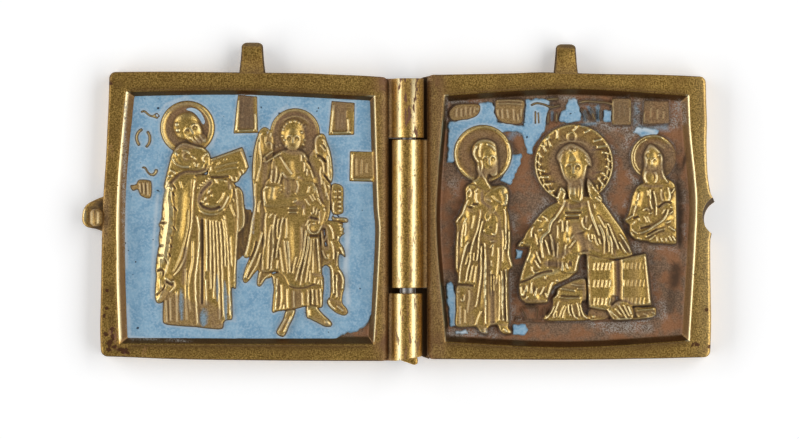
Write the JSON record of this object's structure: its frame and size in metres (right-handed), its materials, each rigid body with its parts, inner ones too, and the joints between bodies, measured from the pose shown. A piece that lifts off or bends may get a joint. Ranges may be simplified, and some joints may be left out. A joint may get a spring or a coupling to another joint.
{
  "type": "travel diptych",
  "caption": "Small folding cast-brass diptych with enamelled low relief, hinged in the middle, with suspension loops and a snap catch.",
  "frame": {"origin": "centre of the bounding box's underside: the diptych lies open on its back", "axes": "+X across the open leaves from the left leaf to the right, +Y up the leaves towards the suspension loops, +Z out of the faces"},
  "size_m": [0.0994, 0.0506, 0.0061],
  "materials": {
    "brass": "cast, rubbed bright on the relief, browned in the hollows",
    "steel": "dull",
    "enamel": "opaque glass enamel, satin gloss with pits"
  },
  "bodies": {
    "left_leaf": {"leaf_left": "brass", "hinge_pin": "steel", "enamel_left": "enamel"},
    "right_leaf": {"leaf_right": "brass", "enamel_right_upper": "enamel", "enamel_right_middle": "enamel", "enamel_right_spot": "enamel", "enamel_right_lower_left": "enamel", "enamel_right_lower_corner": "enamel", "enamel_right_lower_middle": "enamel", "enamel_right_marks": "enamel", "enamel_right_over_bust": "enamel"}
  },
  "joints": [
    {"name": "leaf_hinge", "type": "hinge", "parent": "left_leaf", "child": "right_leaf", "pos_m": [0.0016, -0.00202, 0.0037], "axis": [0, -1, 0], "range_deg": [0, 180]}
  ]
}
